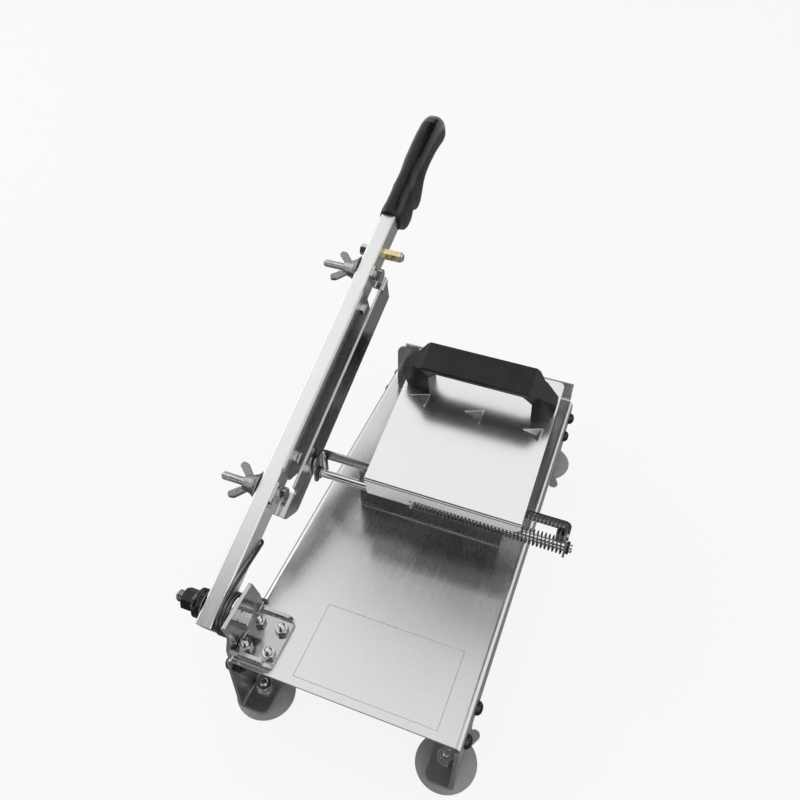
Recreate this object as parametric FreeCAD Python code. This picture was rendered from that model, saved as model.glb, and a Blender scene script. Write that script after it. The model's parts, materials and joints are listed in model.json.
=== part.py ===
"""Hand crank meat slicer: a blade arm that swings down past a meat trough on a suction-footed tray.

While it is built, X runs to the right across the tray, Y to the back and Z up, in millimetres,
from the front left corner of the tray's top. Every piece is then shifted so that the origin lies
on the table, under the middle of the whole slicer.
"""
import FreeCAD, Part
import math
import os

Vector = FreeCAD.Vector

# ---- driving dimensions, millimetres and degrees ----
tray_width = 160.0
tray_length = 322.0
tray_height = 70.0          # from the table to the tray's top
tray_sheet = 1.5
skirt_depth = 21.0
rear_lip_height = 17.4      # meets the standoff when the arm is level

foot_sheet = 2.5
foot_reach = 20.5           # how far a foot plate reaches in from the skirt
foot_length = 40.0
foot_plate_top = 60.0       # below the tray's top
cup_radius = 21.0
cup_inset = 12.0            # stud centre from the tray's side
cup_from_end = 16.5         # stud centre from the tray's end
foot_stud_radius = 3.0
cup_height = 7.5
cup_tab_reach = 31.0        # from the cup's centre to the end of its pull tab
cup_tab_way = 62.7          # its direction, turned from straight out towards the tray's middle

pivot_y = 20.5
pivot_z = 20.7
pivot_radius = 4.0
bush_radius = 6.5
arm_pitch = 20.24           # rest position, above level
arm_left = -21.5
arm_right = -9.5
arm_top = 8.5               # above the pivot line
arm_bottom = -9.5
arm_wall = 1.5
arm_front = -13.5
arm_back = 420.0

blade_sheet = 2.0
blade_left = -2.5
blade_start = 72.0
blade_end = 278.0
blade_top = -4.0            # free edge of the strip between its tabs
blade_web = -7.5            # top of the step that carries the strip out from the arm
blade_edge = -28.0
blade_tabs = ((72.0, 90.5), (269.0, 281.0))
stop_start = 98.5
stop_end = 255.0
lower_wing_at = 85.8
upper_wing_at = 276.4
wing_bolt_radius = 3.0
wing_bolt_tip = -52.5       # X of the bolts' free ends
stop_screws_at = (113.5, 243.0)
stop_screw_radius = 2.5
standoff_at = 297.0
standoff_drop = -0.3
standoff_screw_radius = 2.0

wall_y = 149.5
wall_sheet = 1.5
wall_height = 48.2
strip_height = 8.7
wall_left = 0.5
wall_right = 187.0
deep_left = 31.0
deep_right = 141.0
rear_wall_y = 282.0

rod_y = 142.0
rod_z = 32.0
rod_radius = 3.0
rod_left = 0.8
rod_right = 191.0

plate_pitch = 15.5
plate_sheet = 1.2
plate_left = 42.0
plate_right = 155.7
plate_rise = 22.1           # top of the press plate above the rod's axis
plate_front = -4.25         # front of the press plate's flange from the rod's axis
plate_depth = 118.0
flange_depth = 13.0
sleeve_right = 75.0

fit = 0.05                  # radial clearance of a screw or running fit
slack = 0.3                 # radial clearance of a through hole


# ---- shapes ----
def spot(axis, across, up, along):
    """A point of a sketch, drawn looking along an axis, put in space."""
    if axis == "x":
        return Vector(along, across, up)
    if axis == "y":
        return Vector(across, along, up)
    return Vector(across, up, along)


def corner(before, point, after, radius):
    """The start, middle and end of the arc that rounds a sketch corner."""
    back = (before[0] - point[0], before[1] - point[1])
    ahead = (after[0] - point[0], after[1] - point[1])
    back_length = math.hypot(*back)
    ahead_length = math.hypot(*ahead)
    back = (back[0] / back_length, back[1] / back_length)
    ahead = (ahead[0] / ahead_length, ahead[1] / ahead_length)
    half = math.acos(max(-1.0, min(1.0, back[0] * ahead[0] + back[1] * ahead[1]))) / 2
    cut = radius / math.tan(half)
    start = (point[0] + back[0] * cut, point[1] + back[1] * cut)
    end = (point[0] + ahead[0] * cut, point[1] + ahead[1] * cut)
    middle_way = (back[0] + ahead[0], back[1] + ahead[1])
    middle_length = math.hypot(*middle_way)
    reach = (radius / math.sin(half) - radius) / middle_length
    middle = (point[0] + middle_way[0] * reach, point[1] + middle_way[1] * reach)
    return start, middle, end


def prism(axis, low, high, points, rounding=0.0):
    """A closed sketch pulled along an axis; rounding is one radius, or one for each corner."""
    radii = rounding if isinstance(rounding, list) else [rounding] * len(points)
    edges = []
    starts = []
    ends = []
    for index, point in enumerate(points):
        before = points[index - 1]
        after = points[(index + 1) % len(points)]
        if radii[index] > 0:
            start, middle, end = corner(before, point, after, radii[index])
            arc = Part.Arc(spot(axis, *start, low), spot(axis, *middle, low), spot(axis, *end, low))
            edges.append(arc.toShape())
        else:
            start = point
            end = point
        starts.append(start)
        ends.append(end)
    for index, start in enumerate(starts):
        line_start = spot(axis, *ends[index - 1], low)
        line_end = spot(axis, *start, low)
        if line_start.distanceToPoint(line_end) > 1e-4:
            edges.append(Part.makeLine(line_start, line_end))
    wire = Part.Wire(Part.__sortEdges__(edges))
    face = Part.Face(wire)
    return face.extrude(spot(axis, 0, 0, high - low))


def block(x_low, x_high, y_low, y_high, z_low, z_high):
    """A plain box between two corners."""
    size = (x_high - x_low, y_high - y_low, z_high - z_low)
    return Part.makeBox(*size, Vector(x_low, y_low, z_low))


def bent_sheet(axis, low, high, path, thickness, bend):
    """A folded sheet: the path is one face, and the metal lies to the left of its direction."""
    far = []
    near_radii = []
    far_radii = []
    for index, point in enumerate(path):
        ways = []
        if index > 0:
            ways.append((point[0] - path[index - 1][0], point[1] - path[index - 1][1]))
        if index < len(path) - 1:
            ways.append((path[index + 1][0] - point[0], path[index + 1][1] - point[1]))
        normals = [(-way[1] / math.hypot(*way), way[0] / math.hypot(*way)) for way in ways]
        first = normals[0]
        last = normals[-1]
        scale = thickness / (1 + first[0] * last[0] + first[1] * last[1])
        far.append((point[0] + (first[0] + last[0]) * scale, point[1] + (first[1] + last[1]) * scale))
        turn = ways[0][0] * ways[-1][1] - ways[0][1] * ways[-1][0]
        if abs(turn) < 1e-6:
            near_radii.append(0.0)
            far_radii.append(0.0)
        elif turn > 0:
            near_radii.append(bend + thickness)
            far_radii.append(bend)
        else:
            near_radii.append(bend)
            far_radii.append(bend + thickness)
    return prism(axis, low, high, path + far[::-1], near_radii + far_radii[::-1])


def cylinder(centre, direction, radius, length):
    """A round bar from a centre point along a direction."""
    return Part.makeCylinder(radius, length, Vector(*centre), Vector(*direction))


def aimed(shape, centre, direction):
    """Turn a shape drawn up the Z axis towards a direction, and put it at a centre."""
    towards = FreeCAD.Rotation(Vector(0, 0, 1), Vector(*direction))
    shape.Placement = FreeCAD.Placement(Vector(*centre), towards)
    return shape


def turned(centre, direction, profile):
    """A closed (radius, height) profile turned about an axis."""
    points = [Vector(radius, 0, height) for radius, height in profile]
    face = Part.Face(Part.makePolygon(points + points[:1]))
    shape = face.revolve(Vector(0, 0, 0), Vector(0, 0, 1), 360)
    return aimed(shape, centre, direction)


def hexagon(centre, direction, across_flats, length, roll=0.0):
    """A hexagonal bar with both ends chamfered as on a nut."""
    reach = across_flats / math.sqrt(3)
    bevel = (reach - across_flats / 2) * math.tan(math.radians(30))
    points = []
    for step in range(6):
        angle = math.radians(60 * step + roll)
        points.append(Vector(reach * math.cos(angle), reach * math.sin(angle), 0))
    bar = Part.Face(Part.makePolygon(points + points[:1])).extrude(Vector(0, 0, length))
    flat = across_flats / 2
    profile = [(0, 0), (flat, 0), (reach, bevel), (reach, length - bevel), (flat, length), (0, length)]
    shape = bar.common(turned((0, 0, 0), (0, 0, 1), profile))
    return aimed(shape, centre, direction)


def step_along(point, direction, distance):
    """The point a distance along a unit direction from another."""
    return tuple(place + way * distance for place, way in zip(point, direction))


def bolt(seat, direction, radius, length, across_flats, head, roll=0.0):
    """A hex bolt: its head sits behind the seat, and its shank runs along the direction."""
    tip = radius * 0.25
    profile = [(0, -0.5), (radius, -0.5), (radius, length - tip), (radius - tip, length), (0, length)]
    shank = turned(seat, direction, profile)
    cap = hexagon(step_along(seat, direction, -head), direction, across_flats, head, roll)
    return cap.fuse(shank).removeSplitter()


def domed_bolt(seat, direction, radius, length, head_radius, head):
    """A bolt with a low domed head behind its seat and its shank along the direction."""
    tip = radius * 0.25
    profile = [(0, -head), (head_radius * 0.5, -head * 0.9), (head_radius * 0.85, -head * 0.55)]
    profile = profile + [(head_radius, 0), (radius, 0), (radius, length - tip)]
    profile = profile + [(radius - tip, length), (0, length)]
    return turned(seat, direction, profile)


def nut(seat, direction, across_flats, height, radius, roll=0.0):
    """A hex nut with a plain hole, standing on its seat."""
    hole = cylinder(step_along(seat, direction, -1), direction, radius + fit, height + 2)
    return hexagon(seat, direction, across_flats, height, roll).cut(hole)


def washer(seat, direction, outer, inner, thickness):
    """A flat ring standing on its seat."""
    ring = cylinder(seat, direction, outer, thickness)
    return ring.cut(cylinder(step_along(seat, direction, -1), direction, inner, thickness + 2))


def group(shapes):
    """Like pieces kept together in one node as separate solids."""
    return Part.makeCompound(shapes)


def on_arm(shape):
    """Put a piece drawn along the level arm, from its pivot, on the raised arm."""
    placed = shape.copy()
    placed.rotate(Vector(0, 0, 0), Vector(1, 0, 0), arm_pitch)
    placed.translate(Vector(0, pivot_y, pivot_z))
    return placed


def on_rod(shape):
    """Put a piece drawn about the guide rod, with a level press plate, on the tilted plate."""
    placed = shape.copy()
    placed.rotate(Vector(0, 0, 0), Vector(1, 0, 0), plate_pitch)
    placed.translate(Vector(0, rod_y, rod_z))
    return placed


# ---- tray and feet ----
foot_bolt_from_end = (11.5, 34.0)
corner_bolt_from_end = 4.5      # the front left bracket's first bolt clears the pivot bracket's bolts
foot_bolt_drop = 12.5
foot_bolt_radius = 2.5
bracket_bolt_x = (8.6, 25.4)
bracket_bolt_y = (12.0, 30.4)
bracket_bolt_radius = 2.5
wall_screw_x = (46.0, 86.0, 126.0)
wall_screw_y = (159.0, 291.0)
wall_screw_radius = 2.0


def tray_ends():
    """The Y places, measured from each end of the tray, as (end, inward direction)."""
    return (("front", 0.0, 1.0), ("rear", tray_length, -1.0))


def tray_sides():
    """The two sides of the tray, as (name, X of the skirt's face, inward direction)."""
    return (("left", 0.0, 1.0), ("right", tray_width, -1.0))


def foot_corners():
    """The four corners that a foot stands at, as pairs of a side and an end."""
    return [(side, end) for side in tray_sides() for end in tray_ends()]


def foot_bolt_seats(side, end):
    """Where the two bolts of one foot bracket meet the skirt's face."""
    side_name, side_x, _ = side
    end_name, end_y, inward_y = end
    near, far = foot_bolt_from_end
    if side_name == "left" and end_name == "front":
        near = corner_bolt_from_end
    return [(side_x, end_y + inward_y * distance, -foot_bolt_drop) for distance in (near, far)]


def base_tray():
    """A folded tray: deck, two side skirts and a low lip at the back that stops the arm."""
    skirts = [(0, -skirt_depth), (0, 0), (tray_width, 0), (tray_width, -skirt_depth)]
    lip_bend = 2.0
    deck_end = tray_length - lip_bend - tray_sheet
    deck = bent_sheet("y", 0, deck_end, skirts[::-1], tray_sheet, 3.0)
    lip_path = [(deck_end - 4, -tray_sheet), (tray_length, -tray_sheet), (tray_length, rear_lip_height)]
    lip = bent_sheet("x", 3.0, tray_width - 3.0, lip_path, tray_sheet, lip_bend)
    tray = deck.fuse(lip).removeSplitter()
    holes = []
    for x in bracket_bolt_x:
        for y in bracket_bolt_y:
            holes.append(cylinder((x, y, -5), (0, 0, 1), bracket_bolt_radius + slack, 10))
    for x in wall_screw_x:
        for y in wall_screw_y:
            holes.append(cylinder((x, y, -5), (0, 0, 1), wall_screw_radius + slack, 10))
    for side, end in foot_corners():
        for seat in foot_bolt_seats(side, end):
            outside = step_along(seat, (side[2], 0, 0), -1)
            holes.append(cylinder(outside, (side[2], 0, 0), foot_bolt_radius + slack, tray_sheet + 2))
    return tray.cut(holes)


def foot_bracket(side, end):
    """An angle bracket: a web inside the skirt and a foot plate that carries the suction cup."""
    _, side_x, inward_x = side
    _, end_y, inward_y = end
    low_y, high_y = sorted((end_y - inward_y * 1.7, end_y + inward_y * (foot_length - 1.7)))
    outer = side_x + inward_x * tray_sheet
    bottom = -foot_plate_top - foot_sheet
    path = [(outer, -tray_sheet - 4.0), (outer, bottom), (outer + inward_x * foot_reach, bottom)]
    if inward_x < 0:
        path = path[::-1]
    angle = bent_sheet("y", low_y, high_y, path, foot_sheet, 1.5)
    tip = outer + inward_x * foot_reach
    plan = [(outer, low_y), (tip, low_y), (tip, high_y), (outer, high_y)]
    if inward_x < 0:
        plan = plan[::-1]
    rounding = [0.0, 4.5, 4.5, 0.0]
    angle = angle.common(prism("z", bottom - 1, 0, plan, rounding))
    stud = (side_x + inward_x * cup_inset, end_y + inward_y * cup_from_end, bottom - 1)
    holes = [cylinder(stud, (0, 0, 1), foot_stud_radius + slack, foot_sheet + 2)]
    through = tray_sheet + foot_sheet + 1
    for seat in foot_bolt_seats(side, end):
        holes.append(cylinder(seat, (inward_x, 0, 0), foot_bolt_radius + slack, through))
    return angle.cut(holes)


def suction_cup(centre, inward_x, inward_y):
    """A rubber cup: a thin rim with a pull tab, a shallow dome and a neck under the foot plate."""
    dome = [(0, 4.2), (foot_stud_radius, 4.2), (foot_stud_radius, cup_height), (9.0, cup_height)]
    dome = dome + [(10.5, cup_height - 0.8), (15.0, cup_height - 2.0), (19.0, 3.4), (cup_radius, 1.4)]
    hollow = [(cup_radius, 0.0), (cup_radius - 2.2, 0.0), (13.0, 1.8), (6.0, 2.6), (0, 2.8)]
    cup = turned((0, 0, 0), (0, 0, 1), dome + hollow)
    root = cup_radius - 3.0
    outline = [(root, -4.0), (cup_tab_reach, -4.0), (cup_tab_reach, 4.0), (root, 4.0)]
    tab = prism("z", 0.8, 2.4, outline, [0.0, 3.8, 3.8, 0.0])
    tab.rotate(Vector(0, 0, 0), Vector(0, 0, 1), cup_tab_way)
    cup = cup.fuse(tab).removeSplitter()
    if inward_x > 0:
        cup = cup.mirror(Vector(0, 0, 0), Vector(1, 0, 0))
    if inward_y < 0:
        cup = cup.mirror(Vector(0, 0, 0), Vector(0, 1, 0))
    cup.translate(Vector(*centre, -tray_height))
    return cup


def foot_fixings(cup_centres):
    """The stud, washer and nut that hold each cup to its foot plate."""
    washer_sheet = 1.2
    nut_height = 4.0
    studs = []
    washers = []
    nuts = []
    stud_bottom = -tray_height + 4.2
    stud_top = -foot_plate_top + washer_sheet + nut_height + 1.8
    for x, y in cup_centres:
        tip = [(0, 0), (foot_stud_radius, 0), (foot_stud_radius, stud_top - stud_bottom - 1)]
        tip = tip + [(foot_stud_radius - 1, stud_top - stud_bottom), (0, stud_top - stud_bottom)]
        studs.append(turned((x, y, stud_bottom), (0, 0, 1), tip))
        seat = (x, y, -foot_plate_top)
        washers.append(washer(seat, (0, 0, 1), 6.5, foot_stud_radius + slack, washer_sheet))
        on_washer = step_along(seat, (0, 0, 1), washer_sheet)
        nuts.append(nut(on_washer, (0, 0, 1), 10.0, nut_height, foot_stud_radius))
    return group(studs), group(washers), group(nuts)


def skirt_fixings():
    """Two bolts through the skirt and the web of each foot bracket, with nuts inside."""
    bolts = []
    nuts = []
    for side, end in foot_corners():
        way = (side[2], 0, 0)
        for seat in foot_bolt_seats(side, end):
            bolts.append(domed_bolt(seat, way, foot_bolt_radius, 11.0, 5.0, 4.0))
            inside = step_along(seat, way, tray_sheet + foot_sheet)
            nuts.append(nut(inside, way, 8.0, 4.0, foot_bolt_radius, 30.0))
    return group(bolts), group(nuts)


# ---- pivot bracket and pivot ----
bracket_sheet = 2.5
ear_left = 1.5
ear_right = ear_left + bracket_sheet
bracket_right = 31.0
bracket_front = 2.7
bracket_back = 41.0
ear_top = 36.2
front_lip_height = 8.6
rear_lip_rise = 6.0
pivot_head = 7.5
ear_ring_sheet = 0.8
flat_washer_sheet = 2.1
lock_washer_sheet = 2.2
pivot_nut_height = 8.0
pivot_bolt_tip = -44.0


def pivot_bracket():
    """A folded bracket: a foot plate with turned-up front and back lips, and a tall pivot ear."""
    path = [(ear_left, ear_top), (ear_left, 0), (bracket_right, 0)]
    fold = bent_sheet("y", -1.5, 46, path, bracket_sheet, 0.6)
    ear_side = [(5.0, pivot_z), (1.8, ear_top), (37.5, ear_top), (43, 15), (44, 4)]
    ear_side = ear_side + [(bracket_back, -1), (1.0, -1), (1.0, 10.5)]
    ear = fold.common(prism("x", 0, 8, ear_side, [10.0, 1.0, 2.0, 6.0, 1.5, 0.0, 0.0, 2.0]))
    front_lip = [(bracket_front, front_lip_height), (bracket_front, 0), (22, 0)]
    rear_lip = [(21, 0), (bracket_back, 0), (bracket_back, rear_lip_rise)]
    front_half = bent_sheet("x", 2.4, bracket_right, front_lip, bracket_sheet, 2.0)
    rear_half = bent_sheet("x", ear_right, bracket_right, rear_lip, bracket_sheet, 2.0)
    front_side = [(2.4, 4.5), (2.4, -1), (bracket_right, -1), (bracket_right, 4.0), (25.8, 5.0)]
    front_side = front_side + [(25.2, front_lip_height), (8.6, front_lip_height), (8.0, 4.5)]
    front_rounding = [0.0, 0.0, 0.0, 1.0, 0.3, 0.8, 0.8, 0.3]
    front_half = front_half.common(prism("y", -5, 30, front_side, front_rounding))
    rear_side = [(ear_right, bracket_sheet), (ear_right, -1), (bracket_right, -1)]
    rear_side = rear_side + [(bracket_right, bracket_sheet), (25, rear_lip_rise)]
    rear_side = rear_side + [(8, rear_lip_rise), (8, bracket_sheet)]
    rear_half = rear_half.common(prism("y", 20, 50, rear_side, 0.0))
    plan = [(0, bracket_front), (bracket_right, bracket_front), (bracket_right, bracket_back)]
    plan = plan + [(0, bracket_back)]
    channel = front_half.fuse(rear_half).common(prism("z", -1, 12, plan, [0.0, 4.0, 4.0, 0.0]))
    bracket = ear.fuse(channel).removeSplitter()
    holes = [cylinder((-2, pivot_y, pivot_z), (1, 0, 0), pivot_radius + slack, 12)]
    for x in bracket_bolt_x:
        for y in bracket_bolt_y:
            holes.append(cylinder((x, y, -5), (0, 0, 1), bracket_bolt_radius + slack, 12))
    return bracket.cut(holes)


def bracket_fixings():
    """Four bolts up through the tray and the bracket, with their nuts on top."""
    bolts = []
    nuts = []
    for x in bracket_bolt_x:
        for y in bracket_bolt_y:
            seat = (x, y, -tray_sheet)
            bolts.append(bolt(seat, (0, 0, 1), bracket_bolt_radius, 11.5, 8.0, 3.5))
            nuts.append(nut((x, y, bracket_sheet), (0, 0, 1), 8.0, 4.0, bracket_bolt_radius, 30.0))
    return group(bolts), group(nuts)


def pivot_stack():
    """The pivot bolt, its washers and nut, in the order they are threaded on from the right."""
    leftward = (-1, 0, 0)
    seat = (ear_right, pivot_y, pivot_z)
    main = bolt(seat, leftward, pivot_radius, ear_right - pivot_bolt_tip, 12.0, pivot_head, 12.0)
    hole = pivot_radius + slack
    ear_ring = washer((ear_left, pivot_y, pivot_z), leftward, 15.0, hole, ear_ring_sheet)
    flats = []
    face = arm_left - slack
    for _ in range(3):
        flats.append(washer((face, pivot_y, pivot_z), leftward, 10.0, hole, flat_washer_sheet))
        face = face - flat_washer_sheet
    lock = washer((face, pivot_y, pivot_z), leftward, 7.4, hole, lock_washer_sheet)
    nut_seat = (face - lock_washer_sheet, pivot_y, pivot_z)
    pivot_nut = nut(nut_seat, leftward, 13.0, pivot_nut_height, pivot_radius, 20.0)
    return main, ear_ring, group(flats), lock, pivot_nut


# ---- arm ----
def arm_tube():
    """A rectangular tube that carries the blade, drilled for its pivot bush and bolts."""
    outer = [(arm_left, arm_bottom), (arm_right, arm_bottom), (arm_right, arm_top), (arm_left, arm_top)]
    inner = [(arm_left + arm_wall, arm_bottom + arm_wall), (arm_right - arm_wall, arm_bottom + arm_wall)]
    inner = inner + [(arm_right - arm_wall, arm_top - arm_wall), (arm_left + arm_wall, arm_top - arm_wall)]
    tube = prism("y", arm_front, arm_back, outer, 1.2)
    tube = tube.cut(prism("y", arm_front - 1, arm_back + 1, inner, 0.6))
    holes = [cylinder((arm_left - 1, 0, 0), (1, 0, 0), bush_radius, 15)]
    for place in (lower_wing_at, upper_wing_at):
        holes.append(cylinder((arm_left - 1, place, 0), (1, 0, 0), wing_bolt_radius + slack, 15))
    for place in stop_screws_at:
        holes.append(cylinder((arm_right - 3, place, 0), (1, 0, 0), stop_screw_radius + fit, 5))
    standoff_place = (arm_left - 1, standoff_at, standoff_drop)
    holes.append(cylinder(standoff_place, (1, 0, 0), standoff_screw_radius + slack, 15))
    return on_arm(tube.cut(holes))


def pivot_bush():
    """A sleeve pressed through the arm that turns on the pivot bolt."""
    bush = cylinder((arm_left - 0.1, 0, 0), (1, 0, 0), bush_radius, arm_right - arm_left + 0.2)
    return on_arm(bush.cut(cylinder((arm_left - 1, 0, 0), (1, 0, 0), pivot_radius + fit, 15)))


def handle_grip():
    """A moulded grip over the end of the arm, with a finger guard underneath."""
    side = [(328.5, 12.5), (430, 13.5), (444, 6), (450, -13), (444, -21.5), (418, -13.5), (390, -13.5)]
    side = side + [(378.5, -31), (367, -27), (360, -22), (357.5, -29), (342, -27), (334, -11.5)]
    side = side + [(328.5, -11.5)]
    rounding = [2.0, 9.0, 7.0, 6.0, 6.0, 25.0, 8.0, 4.0, 3.0, 1.5, 4.5, 4.5, 2.0, 1.0]
    grip = prism("x", arm_left - 3.5, arm_right + 3.5, side, rounding)
    width = 19.0
    middle = (arm_left + arm_right) / 2
    section = [(middle - width / 2, -40), (middle + width / 2, -40), (middle + width / 2, 14)]
    section = section + [(middle - width / 2, 14)]
    grip = grip.common(prism("y", 300, 460, section, [7.0, 7.0, 8.0, 8.0]))
    pocket = [(arm_left, arm_bottom), (arm_right, arm_bottom), (arm_right, arm_top), (arm_left, arm_top)]
    grip = grip.cut(prism("y", 300, arm_back + 0.1, pocket, 1.2))
    return on_arm(grip)


def blade():
    """A straight blade with a ground edge, pressed from one sheet with two stepped tabs."""
    outer = blade_left + blade_sheet
    tab_path = [(arm_right, 8), (arm_right, blade_web - blade_sheet), (outer - 4, blade_web - blade_sheet)]
    hanging = [(outer, blade_edge), (outer, blade_web), (outer - 4, blade_web)]
    sheet = None
    for start, end in blade_tabs:
        step = bent_sheet("y", start, end, tab_path, blade_sheet, 1.5)
        drop = bent_sheet("y", start, end, hanging, blade_sheet, 1.5)
        tab = step.fuse(drop)
        sheet = tab if sheet is None else sheet.fuse(tab)
    relief = 3.0
    low = blade_tabs[0][1]
    high = blade_tabs[1][0]
    below = blade_web - blade_sheet - 1.5
    strip = [(blade_start, below), (blade_start, blade_edge), (blade_end, blade_edge), (blade_end, below)]
    strip = strip + [(high - relief, below), (high - relief, blade_top), (low + relief, blade_top)]
    strip = strip + [(low + relief, below)]
    sheet = sheet.fuse(prism("x", blade_left, outer, strip, 0.0))
    outline = [(blade_start, 8), (blade_start, -13), (blade_start + 12, blade_edge)]
    outline = outline + [(blade_end - 2, blade_edge), (blade_end, -13)]
    outline = outline + [(blade_tabs[1][1], -8), (blade_tabs[1][1], 8)]
    sheet = sheet.common(prism("x", arm_right - 1, 5, outline, [4.0, 6.0, 6.0, 1.0, 2.0, 1.0, 4.0]))
    ground = [(blade_left - 1, blade_edge - 1), (blade_left + 1.9, blade_edge - 1)]
    ground = ground + [(blade_left, blade_edge + 7), (blade_left - 1, blade_edge + 7)]
    sheet = sheet.cut(prism("y", blade_start - 1, blade_end + 1, ground, 0.0))
    for place in (lower_wing_at, upper_wing_at):
        sheet = sheet.cut(cylinder((arm_right - 1, place, 0), (1, 0, 0), wing_bolt_radius + slack, 5))
    return on_arm(sheet.removeSplitter())


def stop_plate():
    """The plate that the meat is pushed against; its gap to the blade sets the slice."""
    outline = [(stop_start, 10), (stop_start, -7.8), (115, -23.6), (125, -34)]
    outline = outline + [(stop_end, -34), (stop_end, 10)]
    rounding = [2.0, 2.0, 4.0, 4.0, 6.0, 4.0]
    plate = prism("x", arm_right, arm_right + blade_sheet, outline, rounding)
    for place in stop_screws_at:
        plate = plate.cut(cylinder((arm_right - 1, place, 0), (1, 0, 0), stop_screw_radius + slack, 5))
    return on_arm(plate)


def stop_plate_screws():
    """Two hex screws tapped into the arm's wall."""
    screws = []
    for place in stop_screws_at:
        seat = (arm_right + blade_sheet, place, 0)
        screws.append(on_arm(bolt(seat, (-1, 0, 0), stop_screw_radius, 7.0, 8.0, 3.5, 15.0)))
    return group(screws)


def wing_bolts():
    """The two long bolts that clamp the blade's tabs, and the washers under their heads."""
    bolts = []
    washers = []
    washer_sheet = 0.8
    for place in (lower_wing_at, upper_wing_at):
        tab_face = (arm_right + blade_sheet, place, 0)
        washers.append(on_arm(washer(tab_face, (1, 0, 0), 5.0, wing_bolt_radius + slack, washer_sheet)))
        seat = step_along(tab_face, (1, 0, 0), washer_sheet)
        length = seat[0] - wing_bolt_tip
        bolts.append(on_arm(bolt(seat, (-1, 0, 0), wing_bolt_radius, length, 9.0, 4.4, 10.0)))
    return group(bolts), group(washers)


def wing_nut(place):
    """A cast wing nut: a bell-shaped hub with two swept wings along the arm."""
    face = arm_left - 0.1
    hub = [(0, 0), (11.3, 0), (11.3, 0.8), (8.8, 3.2), (7.0, 6.5), (5.9, 10.5), (5.4, 13.0), (0, 13.0)]
    shape = turned((face, 0, 0), (-1, 0, 0), hub)
    wing = [(face - 7.0, 2), (face - 8.4, 5.6), (face - 15.8, 13.2), (face - 20.0, 13.8)]
    wing = wing + [(face - 21.7, 10.4), (face - 14.0, 3.75), (face - 12.5, 2)]
    rounding = [0.0, 2.0, 3.0, 1.5, 1.5, 2.0, 0.0]
    for side in (1, -1):
        points = [(x, side * reach) for x, reach in wing]
        shape = shape.fuse(prism("z", -1.5, 1.5, points, rounding))
    shape = shape.cut(cylinder((face + 1, 0, 0), (-1, 0, 0), wing_bolt_radius + fit, 20))
    shape.translate(Vector(0, place, 0))
    return on_arm(shape)


def standoff_set():
    """A brass hex pillar on the arm that meets the tray's rear lip, with its screw and nut."""
    length = 15.4
    tapped = standoff_screw_radius
    pillar = hexagon((arm_right, standoff_at, standoff_drop), (1, 0, 0), 8.0, length, 30.0)
    bore = cylinder((arm_right - 1, standoff_at, standoff_drop), (1, 0, 0), tapped + fit, length + 2)
    pillar = pillar.cut(bore)
    seat = (arm_left, standoff_at, standoff_drop)
    reach = arm_right - arm_left + 8.0
    left_screw = bolt(seat, (1, 0, 0), tapped, reach, 8.0, 6.8, 10.0)
    end = (arm_right + length, standoff_at, standoff_drop)
    tip_screw = bolt(end, (-1, 0, 0), tapped, 6.0, 6.0, 1.6, 30.0)
    return on_arm(pillar), on_arm(left_screw), on_arm(tip_screw)


def leg_path(start, way, straight, bend, side, tail):
    """The edges of a spring's leg: a straight run, one bend towards a side, and a tail."""
    way = Vector(way).normalize()
    side = Vector(side).normalize()
    side = (side - way * side.dot(way)).normalize()
    first_end = start + way * straight
    centre = first_end + side * bend
    middle = centre + (way - side).normalize() * bend
    arc_end = centre + way * bend
    edges = [Part.makeLine(start, first_end)]
    edges.append(Part.Arc(first_end, middle, arc_end).toShape())
    edges.append(Part.makeLine(arc_end, arc_end + side * tail))
    return edges


spring_wire = 1.2
spring_mean = 13.6
spring_pitch = 2.45
spring_start_x = -6.85
spring_hook = (53.0, -10.9)      # along the arm from the pivot, and below it
spring_rest = (47.0, 1.35)       # Y and Z where the other leg lies on the tray


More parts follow.
